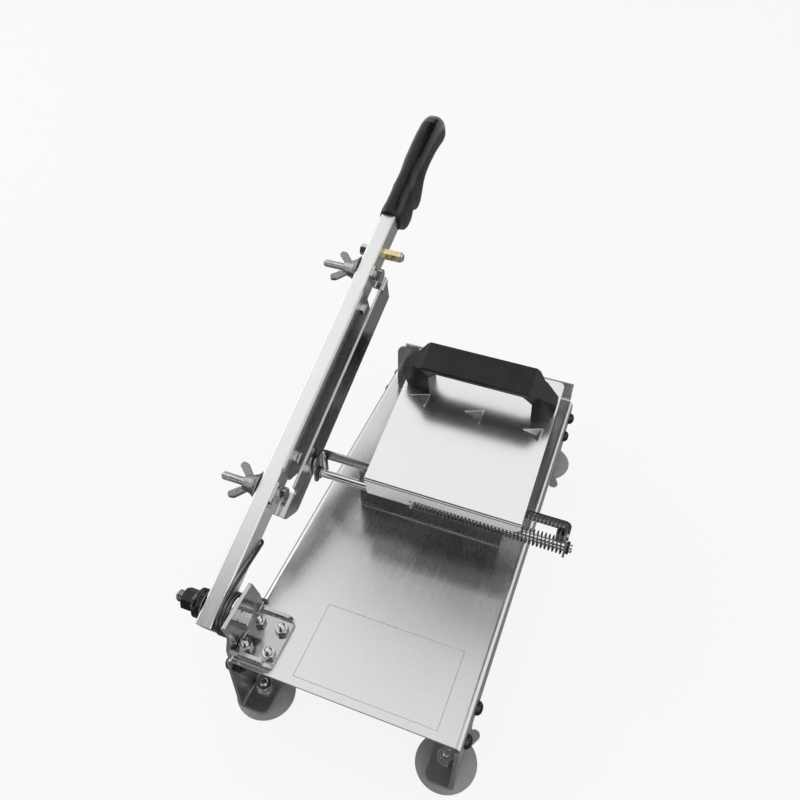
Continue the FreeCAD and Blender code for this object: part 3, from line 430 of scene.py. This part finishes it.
material, place = begin("cup_rubber")
cloud = noise(place, 0.05, 4.0)
grit = noise(place, 1.6, 3.0)
dust = levels(noise(place, 0.22, 5.0), 0.5, 0.8)
colour = shade((cloud * 0.7 + dust * 0.4).clamped(), (0.26, 0.26, 0.255), (0.44, 0.44, 0.43))
roughness = 0.5 + (grit - 0.5) * 0.15 + dust * 0.15
cup_rubber = coat(material, colour, roughness, grit + cloud, 0.05, 0.0, Specular_IOR_Level=0.45)
cup_radius = 21.0
cup_height = 7.5
cup_profile = [(0, 4.2), (3.0, 4.2), (3.0, cup_height), (8.6, cup_height), (9.3, 7.2), (9.8, 6.6),
               (12.5, 6.1), (15.8, 5.0), (18.2, 3.6), (19.6, 2.5), (20.7, 1.9), (cup_radius, 1.2),
               (20.8, 0.4), (20.2, 0.0), (19.4, 0.1), (18.4, 0.9), (13.0, 1.8), (6.0, 2.6), (0, 2.8)]
tab_half = 4.0
tab_low = 0.8
tab_high = 2.4
tab_round = 0.5
tab_reach = 31.0
tab_root = cup_radius - 3.0
tab_way = math.radians(62.7)        # from straight out, towards the tray's middle
stud_from_side = 12.0
stud_from_end = 16.5
tray_width = 160.0
tray_length = 322.0


def slab(outline, low, high):
    """A closed bmesh of an outline pulled up the Z axis."""
    bm = bmesh.new()
    base = bm.faces.new([bm.verts.new((x, y, low)) for x, y in outline])
    grown = bmesh.ops.extrude_face_region(bm, geom=[base])
    top = [part for part in grown["geom"] if isinstance(part, bmesh.types.BMVert)]
    bmesh.ops.translate(bm, verts=top, vec=(0, 0, high - low))
    bmesh.ops.recalc_face_normals(bm, faces=bm.faces)
    return bm


def stud_place(corner, level=0.0):
    """A frame in millimetres on a foot stud's axis, at a height in metres above the table."""
    end, side = corner.split("_")
    x = stud_from_side if side == "left" else tray_width - stud_from_side
    y = stud_from_end if end == "front" else tray_length - stud_from_end
    place = on_deck @ Matrix.Translation((x, y, 0))
    place.translation.z = level
    return place


def cup_place(corner):
    """The frame of a cup, mirrored where needed so that X and -Y point away from the tray."""
    outward = (-1 if "left" in corner else 1, 1 if "front" in corner else -1, 1, 1)
    return stud_place(corner) @ Matrix.Diagonal(outward)


tab_end = [(tab_reach - tab_half + tab_half * math.cos(turn), tab_half * math.sin(turn))
           for turn in (math.radians(15 * step - 90) for step in range(13))]
for corner in corners:
    bm = bmesh.new()
    join(bm, turned(cup_profile, 96), cup_place(corner))
    tab = slab([(tab_root, tab_half), (tab_root, -tab_half)] + tab_end, tab_low, tab_high)
    soften(tab, tab_round)
    join(bm, tab, cup_place(corner) @ Matrix.Rotation(tab_way, 4, "Z"))
    bmesh.ops.recalc_face_normals(bm, faces=bm.faces)
    piece("rubber_cup_" + corner, bm, cup_rubber, "suction_cup_" + corner)

# ---- Foot studs, washers and nuts; skirt bolts and nuts ----
# M6 studs with bright nuts hold the cups to their plates, and M5 bolts with low domed heads hold
# the plates to the skirts. The domed bolts are blackened. All are bought fasteners.


def fastener_steel(name, dark, light, rough, metallic=1.0):
    """Bright or blackened bought hardware: tumbled surface, small dents and stains."""
    material, place = begin(name)
    tumble = noise(place, 0.9, 4.0)
    fine = noise(place, 6.0, 2.0)
    stain = levels(noise(place, 0.25, 4.0), 0.45, 0.75)
    colour = shade((tumble * 0.8 + fine * 0.2 - stain * 0.25).clamped(), dark, light)
    roughness = rough + stain * 0.12 + (fine - 0.5) * 0.12
    return coat(material, colour, roughness, tumble * 0.7 + fine * 0.3, 0.012, metallic)


bright_steel = fastener_steel("fastener_steel", (0.46, 0.46, 0.45), (0.84, 0.84, 0.83), 0.13)
black_steel = fastener_steel("black_oxide_steel", (0.01, 0.01, 0.01), (0.07, 0.07, 0.07), 0.18, 0.9)


def threaded(length, radius, pitch, plain=0.0, around=24):
    """A shank along Z: a plain part, then a core with one rolled helical ridge and a chamfered tip."""
    root = radius - 0.6 * pitch
    tip = length - 0.4 * pitch
    core = [(0, 0), (radius, 0), (radius, plain), (root, plain), (root, tip)]
    core = core + [(root - 0.4 * pitch, length), (0, length)]
    bm = turned(core, around)
    crest = 0.07 * pitch
    foot = 0.42 * pitch
    low = plain + foot
    inside = root - 0.05
    profile = [(inside, low - foot), (radius, low - crest), (radius, low + crest), (inside, low + foot)]
    ridge = [bm.verts.new((reach, 0, height)) for reach, height in profile]
    face = bm.faces.new(ridge)
    steps = int((tip - plain - 2 * foot) / pitch * around)
    bmesh.ops.spin(bm, geom=ridge + face.edges[:] + [face], cent=(0, 0, 0), axis=(0, 0, 1),
                   dvec=(0, 0, pitch / around), angle=math.tau * steps / around, steps=steps)
    bmesh.ops.recalc_face_normals(bm, faces=bm.faces)
    return bm


def heads_only(node, seat, keep):
    """A copy of a node's bolts with everything past the seat plane cut away, and the cut closed."""
    bm = copied(node)
    cut = bmesh.ops.bisect_plane(bm, geom=bm.verts[:] + bm.edges[:] + bm.faces[:], plane_co=seat,
                                 plane_no=keep, clear_inner=True)
    rim = [part for part in cut["geom_cut"] if isinstance(part, bmesh.types.BMEdge)]
    bmesh.ops.edgeloop_fill(bm, edges=rim)
    return bm


stud_radius = 3.0
stud_pitch = 1.0
low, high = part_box("foot_studs")
bm = bmesh.new()
for corner in corners:
    join(bm, threaded((high.z - low.z) / MM, stud_radius, stud_pitch), stud_place(corner, low.z))
piece("foot_stud_threads", bm, bright_steel, "foot_studs")
for node, material in (("foot_washers", bright_steel), ("foot_nuts", bright_steel),
                       ("skirt_bolts", black_steel), ("skirt_nuts", black_steel)):
    bm = copied(node)
    soften(bm, hardware_round)
    piece(node + "_bought", bm, material, node)

# ---- Pivot bracket ----
# A folded steel bracket, bolted through the deck: a foot with turned-up front and back lips, and a
# tall ear that the arm's bolt passes through.
bm = copied("pivot_bracket")
soften(bm, folded_round)
material, place, colour, roughness, height = brushed(
    "ear_steel", (0.46, 0.46, 0.455), (0.64, 0.64, 0.635), 0.15, (1.0, 0.04, 0.6), streaks=0.3)
ear_steel = coat(material, colour, roughness, height, line_depth)
piece("pivot_ear_plate", bm, ear_steel, "pivot_bracket")
bracket_bolt_radius = 2.5
bracket_bolt_pitch = 0.8
bracket_bolt_x = (8.6, 25.4)
bracket_bolt_y = (12.0, 30.4)
bracket_bolt_plain = 3.0             # length without a thread
tray_sheet = 1.5
tray_under = deck.z - tray_sheet * MM
low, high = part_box("bracket_bolts")
bm = heads_only("bracket_bolts", (0, 0, tray_under), (0, 0, -1))
for x in bracket_bolt_x:
    for y in bracket_bolt_y:
        seat = on_deck @ Matrix.Translation((x, y, -tray_sheet))
        length = (high.z - tray_under) / MM
        join(bm, threaded(length, bracket_bolt_radius, bracket_bolt_pitch, bracket_bolt_plain), seat)
piece("bracket_bolt_threads", bm, bright_steel, "bracket_bolts")
bm = copied("bracket_nuts")
soften(bm, hardware_round)
piece("bracket_nuts_bright", bm, bright_steel, "bracket_nuts")

# ---- Pivot bolt, washers and nut ----
# An M8 hex bolt carries the arm. Left of the arm stand two black washers, a lock washer and a
# black nut, with the bolt's blackened thread showing past it.
# A lighter worn steel for rims and the thread: partly real wear through the black oxide, partly a
# painted highlight standing in for the bright glints along their edges.
worn_and_glint_steel = fastener_steel("worn_and_glint_oxide_steel", (0.25, 0.25, 0.25), (0.6, 0.6, 0.59), 0.25)
arm_joint = next(joint for joint in frame["joints"] if joint["name"] == "arm_swing")
arm_pitch = -arm_joint["range_deg"][0]
bush_low, bush_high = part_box("pivot_bush")
pivot = (bush_low + bush_high) / 2
on_arm = (Matrix.Translation((deck.x, pivot.y, pivot.z))
          @ Matrix.Rotation(math.radians(arm_pitch), 4, "X") @ Matrix.Scale(MM, 4))
leftward = Matrix.Rotation(math.radians(-90), 4, "Y")
pivot_radius = 4.0
pivot_thread_pitch = 1.25
pivot_thread_start = 26.0
bracket_sheet = 2.5
low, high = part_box("pivot_bolt")
_, ear_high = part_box("ear_washer")
head_seat = ear_high.x + bracket_sheet * MM
bm = heads_only("pivot_bolt", (head_seat, 0, 0), (1, 0, 0))
seat = Matrix.Translation((head_seat, pivot.y, pivot.z)) @ leftward @ Matrix.Scale(MM, 4)
pivot_length = (head_seat - low.x) / MM
join(bm, threaded(pivot_length, pivot_radius, pivot_thread_pitch, pivot_thread_start, 32), seat)
pivot_piece = piece("pivot_bolt_threaded", bm, bright_steel, "pivot_bolt", rim=worn_and_glint_steel)
# Left of the pivot the bolt's thread takes that lighter steel: partly wear, partly painted highlight.
for face in pivot_piece.data.polygons:
    face.material_index = int(face.center.x < pivot.x)
# The rounded rims of the washers and nut take that lighter steel: partly wear, partly a painted edge
# highlight.
for node in ("ear_washer", "pivot_washers", "pivot_lock_washer", "pivot_nut"):
    bm = copied(node)
    soften(bm, folded_round, rim=1)
    piece(node + "_black", bm, black_steel, node, rim=worn_and_glint_steel)

# ---- Arm ----
# A rectangular steel tube, blasted to an even satin white, with a brass bush pressed through it
# for the pivot.
material, place = begin("blasted_tube")
grain = noise(place, 2.2, 4.0)
cloud = noise(place, 0.03, 3.0)
rub = noise(stretched(place, (1.0, 0.03, 1.0), (arm_pitch, 0, 0)), 0.9, 3.0)
colour = shade((cloud * 0.6 + rub * 0.5 - 0.05).clamped(), (0.74, 0.74, 0.735), (0.86, 0.86, 0.855))
roughness = 0.34 + (rub - 0.5) * 0.14 + (grain - 0.5) * 0.1
blasted_tube = coat(material, colour, roughness, grain * 0.6 + rub * 0.4, 0.01)
bm = copied("arm_tube")
soften(bm, sheet_round)
piece("arm_tube_blasted", bm, blasted_tube, "arm_tube")

material, place = begin("turned_brass")
ring = noise(stretched(place, (1.0, 0.05, 0.05), (arm_pitch, 0, 0)), 3.0, 3.0)
tarnish = levels(noise(place, 0.35, 4.0), 0.4, 0.8)
colour = shade((ring * 0.6 + tarnish * 0.7).clamped(), (0.94, 0.83, 0.56), (0.52, 0.40, 0.19))
turned_brass = coat(material, colour, 0.14 + tarnish * 0.2, ring, 0.01)
bm = copied("pivot_bush")
piece("pivot_bush_brass", bm, turned_brass, "pivot_bush")

# ---- Handle grip ----
# Black moulded plastic pushed over the tube: nearly flat on top, waisted underneath, flared at its
# end, with an open rim at the mouth and two rounded finger stops below.
tube_middle = -15.5
grip_sections = [(328.5, 8.3, -11.8, 12.0), (331.5, 8.7, -12.4, 12.5), (335.0, 8.8, -14.5, 12.7),
                 (339.0, 9.0, -21.5, 12.8), (343.0, 9.0, -27.0, 12.9), (348.0, 9.0, -29.5, 12.9),
                 (353.0, 9.0, -29.5, 13.0), (357.0, 9.0, -26.0, 13.0), (360.0, 9.0, -22.0, 13.0),
                 (363.0, 9.0, -23.5, 13.0), (367.0, 9.1, -29.5, 13.1), (371.0, 9.1, -33.0, 13.1),
                 (375.0, 9.1, -33.0, 13.2), (379.0, 9.1, -29.0, 13.2), (384.0, 9.2, -21.5, 13.2),
                 (389.0, 9.2, -17.0, 13.3), (395.0, 9.2, -15.0, 13.3), (405.0, 9.3, -14.2, 13.4),
                 (418.0, 9.4, -15.6, 13.2), (430.0, 9.5, -18.8, 12.2), (438.0, 9.5, -21.6, 9.5),
                 (443.5, 9.0, -21.9, 6.3), (446.8, 7.6, -19.0, 2.0),
                 (448.4, 5.0, -14.5, -3.0)]          # along the arm, half width, underside and top
mouth_wall = 1.6
mouth_depth = 7.0


def pulled(sections, middle, corner=0.8):
    """A closed bmesh pulled along Y through rounded rectangles of a half width, underside and top."""
    bm = bmesh.new()
    upright = Matrix.Rotation(math.radians(90), 4, "X")
    bmesh.ops.create_grid(bm, x_segments=1, y_segments=1, size=1.0, matrix=upright)
    bmesh.ops.bevel(bm, geom=bm.verts[:], offset=corner, segments=5, profile=0.5, affect="VERTICES",
                    clamp_overlap=True, material=-1)
    cap = next(iter(bm.faces))
    shape = [(vert.co.x, vert.co.z) for vert in cap.verts]
    for index, (along, half, under, top) in enumerate(sections):
        if index:
            grown = bmesh.ops.extrude_face_region(bm, geom=[cap])
            cap = next(part for part in grown["geom"] if isinstance(part, bmesh.types.BMFace))
        for vert, (across, up) in zip(cap.verts, shape):
            vert.co = (middle + half * across, along, (under + top) / 2 + (top - under) / 2 * up)
    bmesh.ops.recalc_face_normals(bm, faces=bm.faces)
    return bm


bm = pulled(grip_sections, tube_middle)
mouth = min(bm.faces, key=lambda face: face.calc_center_median().y)
bmesh.ops.inset_individual(bm, faces=[mouth], thickness=mouth_wall)
sunk = bmesh.ops.extrude_face_region(bm, geom=[mouth])
floor_of_mouth = [part for part in sunk["geom"] if isinstance(part, bmesh.types.BMVert)]
bmesh.ops.translate(bm, verts=floor_of_mouth, vec=(0, mouth_depth, 0))
bmesh.ops.transform(bm, matrix=on_arm, verts=bm.verts)
material, place = begin("grip_plastic")
pores = noise(place, 2.6, 3.0)
wear = levels(noise(stretched(place, (1.0, 0.15, 1.0), (arm_pitch, 0, 0)), 0.12, 4.0), 0.4, 0.75)
colour = shade(wear, (0.003, 0.003, 0.003), (0.009, 0.009, 0.009))
roughness = 0.25 + (pores - 0.5) * 0.15 - wear * 0.05
grip_plastic = coat(material, colour, roughness, pores, 0.04, 0.0, Specular_IOR_Level=0.35)
piece("handle_grip_moulded", bm, grip_plastic, "handle_grip", skin=0.6, passes=8)

# ---- Blade and stop plate ----
# The blade is one pressed sheet: two tabs bolted to the arm step out to a straight strip, ground to
# an edge below. The stop plate beside it is screwed flat to the arm and sets the slice.
arm_grain = (1.0, 0.03, 1.0)
arm_turn = (arm_pitch, 0, 0)
material, place, colour, roughness, height = brushed(
    "blade_steel", (0.44, 0.44, 0.435), (0.60, 0.60, 0.595), 0.16, arm_grain, arm_turn, 0.3)
pivot_mm = (deck.x / MM, pivot.y / MM, pivot.z / MM)
arm_place = stretched(place, (1.0, 1.0, 1.0), arm_turn, pivot_mm)
arm_up = arm_place.node("ShaderNodeSeparateXYZ", {}, {"Vector": arm_place}, "Z")
ground_from = -21.0                  # below the arm's middle line
ground = (arm_up < ground_from) * 1.0
grind = noise(stretched(place, (0.3, 1.0, 0.05), arm_turn), 5.0, 2.0)
roughness = roughness + ground * (grind * 0.2 - 0.02)
blade_steel = coat(material, colour, roughness, height + ground * grind * 2.0, line_depth)
ground_round = 0.15 * MM
bm = copied("blade")
soften(bm, ground_round)
piece("blade_sheet", bm, blade_steel, "blade")
material, place, colour, roughness, height = brushed(
    "stop_steel", (0.46, 0.46, 0.455), (0.64, 0.64, 0.635), 0.26, arm_grain, arm_turn, 0.4)
stop_steel = coat(material, colour, roughness, height, line_depth)
bm = copied("stop_plate")
soften(bm, sheet_round)
piece("stop_plate_sheet", bm, stop_steel, "stop_plate")
for node in ("stop_plate_screws", "wing_bolt_washers"):
    bm = copied(node)
    soften(bm, hardware_round)
    piece(node + "_bright", bm, bright_steel, node)

# ---- Wing bolts and wing nuts ----
# Two M6 bolts threaded over their whole length clamp the blade's tabs. Their wing nuts are cast, so
# every edge and corner is full and rounded.
wing_bolt_radius = 3.0
wing_bolt_pitch = 1.0
wing_bolts_along = (85.8, 276.4)
bolt_low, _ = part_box("wing_bolts")
_, washer_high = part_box("wing_bolt_washers")
bm = heads_only("wing_bolts", (washer_high.x, 0, 0), (1, 0, 0))
bolt_length = (washer_high.x - bolt_low.x) / MM
for along in wing_bolts_along:
    seat = on_arm @ Matrix.Translation(((washer_high.x - deck.x) / MM, along, 0)) @ leftward
    join(bm, threaded(bolt_length, wing_bolt_radius, wing_bolt_pitch), seat)
piece("wing_bolt_threads", bm, bright_steel, "wing_bolts")
cast_steel = fastener_steel("cast_wing_metal", (0.13, 0.13, 0.128), (0.42, 0.42, 0.41), 0.18)
for node in ("wing_nut_lower", "wing_nut_upper"):
    piece(node + "_cast", copied(node), cast_steel, node, skin=0.28, passes=8)

# ---- Brass standoff ----
# A hex pillar turned from brass bar, held by a long bright screw through the arm, with a small
# screw in its free end.
turned_round = 0.15 * MM
for node, material in (("brass_standoff", turned_brass), ("standoff_screw", bright_steel),
                       ("standoff_end_screw", bright_steel)):
    bm = copied(node)
    soften(bm, turned_round)
    piece(node + "_turned", bm, material, node)

# ---- Torsion spring ----
# Oiled black spring wire coiled round the pivot: one leg hooks under the arm and lifts it, the
# other lies on the deck.
material, place = begin("oiled_wire")
film = noise(place, 0.6, 4.0)
draw = noise(place, 5.0, 2.0)
colour = shade(film, (0.05, 0.05, 0.05), (0.16, 0.16, 0.155))
oiled_wire = coat(material, colour, 0.2 + draw * 0.2, draw, 0.01, 0.9)


def sprung(name, node, material):
    """A fixed copy of a CAD spring, its place baked into its mesh, standing in for the node."""
    bm = copied(node)
    mesh = bpy.data.meshes.new(name)
    bm.to_mesh(mesh)
    bm.free()
    mesh.materials.append(material)
    mesh.shade_smooth()
    spring = bpy.data.objects.new(name, mesh)
    bpy.context.scene.collection.objects.link(spring)
    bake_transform(spring)
    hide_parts(node)


sprung("torsion_spring_wire", "torsion_spring", oiled_wire)

# ---- Trough walls ----
# Two folded sheets screwed down to the deck. The front one is deep in its middle and reaches out
# past the tray in a strip, with an ear at each end for the rod.
material, place, colour, roughness, height = brushed(
    "wall_steel", (0.36, 0.36, 0.355), (0.54, 0.54, 0.535), 0.16, (0.02, 1.0, 1.0), streaks=0.35)
wall_steel = coat(material, colour, roughness, height, line_depth)
for node in ("front_wall", "rear_wall"):
    bm = copied(node)
    soften(bm, sheet_round)
    piece(node + "_sheet", bm, wall_steel, node)
for node in ("wall_screws", "wall_nuts"):
    bm = copied(node)
    soften(bm, hardware_round)
    piece(node + "_bright", bm, bright_steel, node)

# ---- Guide rod, clips and feed spring ----
# A polished round bar through both ears, kept by black push-on rings. The drawn wire spring on it
# pushes the press plate towards the blade.
material, place = begin("polished_bar")
line = noise(stretched(place, (0.05, 1.0, 1.0)), 3.0, 2.0)
smear = noise(place, 0.08, 3.0)
colour = shade((line * 0.5 + smear * 0.5).clamped(), (0.70, 0.70, 0.695), (0.86, 0.86, 0.855))
polished_bar = coat(material, colour, 0.1 + smear * 0.14, line, 0.004)
bm = copied("guide_rod")
piece("guide_rod_polished", bm, polished_bar, "guide_rod")
# The clips' rounded rims take the lighter worn steel: partly wear, partly a painted edge highlight.
bm = copied("rod_clips")
soften(bm, sheet_round, rim=1)
piece("rod_clips_black", bm, black_steel, "rod_clips", rim=worn_and_glint_steel)
bm = copied("thrust_washer")
soften(bm, sheet_round)
piece("thrust_washer_bright", bm, bright_steel, "thrust_washer")
material, place = begin("drawn_wire")
draw = noise(place, 4.0, 3.0)
cloud = noise(place, 0.3, 3.0)
colour = shade(cloud, (0.08, 0.08, 0.078), (0.20, 0.20, 0.195))
drawn_wire = coat(material, colour, 0.16 + draw * 0.16, draw, 0.008)
sprung("feed_spring_wire", "feed_spring", drawn_wire)

# ---- Press plate ----
# One sheet folded down at the front, with a sleeve rolled round the rod. Three teeth are punched
# down through it, and the punch leaves a bright raised lip behind each.
plate_pitch = 15.5
material, place, colour, roughness, height = brushed(
    "press_steel", (0.78, 0.78, 0.775), (0.90, 0.90, 0.895), 0.22, (0.03, 1.0, 1.0), (plate_pitch, 0, 0),
    0.25)
press_steel = coat(material, colour, roughness, height, line_depth)
plate_top = 22.1
tooth_backs = ((62.9, 75.0), (105.6, 73.2), (149.4, 71.4))     # the right end of each back edge
tooth_across = Vector((-12.0, -4.2, 0.0))                      # from there to its left end
tooth_tip = Vector((-0.3, -10.2, 0.0))                         # and to the front point
lip_width = 1.1
lip_rise = 0.5
lip_round = 0.3
rod_low, rod_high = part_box("guide_rod")
on_rod = (Matrix.Translation((deck.x, (rod_low.y + rod_high.y) / 2, (rod_low.z + rod_high.z) / 2))
          @ Matrix.Rotation(math.radians(plate_pitch), 4, "X") @ Matrix.Scale(MM, 4))
bm = copied("press_plate")
soften(bm, sheet_round)
for tooth_x, tooth_y in tooth_backs:
    start = Vector((tooth_x, tooth_y, plate_top))
    for way in (tooth_across, tooth_tip):
        outside = Vector((way.y, -way.x, 0)).normalized() * lip_width / 2
        if outside.dot(tooth_across + tooth_tip) > 0:
            outside.negate()
        lip = bmesh.new()
        bmesh.ops.create_cube(lip, size=1.0)
        bmesh.ops.scale(lip, vec=(way.length + lip_width, lip_width, lip_rise * 2), verts=lip.verts)
        soften(lip, lip_round, 3)
        turn = Matrix.Rotation(math.atan2(way.y, way.x), 4, "Z")
        join(bm, lip, on_rod @ Matrix.Translation(start + way / 2 + outside) @ turn)
piece("press_plate_sheet", bm, press_steel, "press_plate")

# ---- Press handle ----
# A faceted arch of matt black plastic, with flat sloped faces and crisp moulded edges, screwed on
# from below.
material, place = begin("handle_plastic")
pores = noise(place, 3.0, 3.0)
rub = levels(noise(place, 0.06, 4.0), 0.4, 0.7)
colour = shade(rub, (0.006, 0.006, 0.006), (0.014, 0.014, 0.014))
roughness = 0.36 + (pores - 0.5) * 0.18 - rub * 0.06
handle_plastic = coat(material, colour, roughness, pores, 0.04, 0.0, Specular_IOR_Level=0.35)
moulded_round = 0.6 * MM
bm = copied("press_handle")
soften(bm, moulded_round, 3)
piece("press_handle_moulded", bm, handle_plastic, "press_handle")
bm = copied("press_handle_screws")
soften(bm, hardware_round)
piece("press_handle_screws_bright", bm, bright_steel, "press_handle_screws")
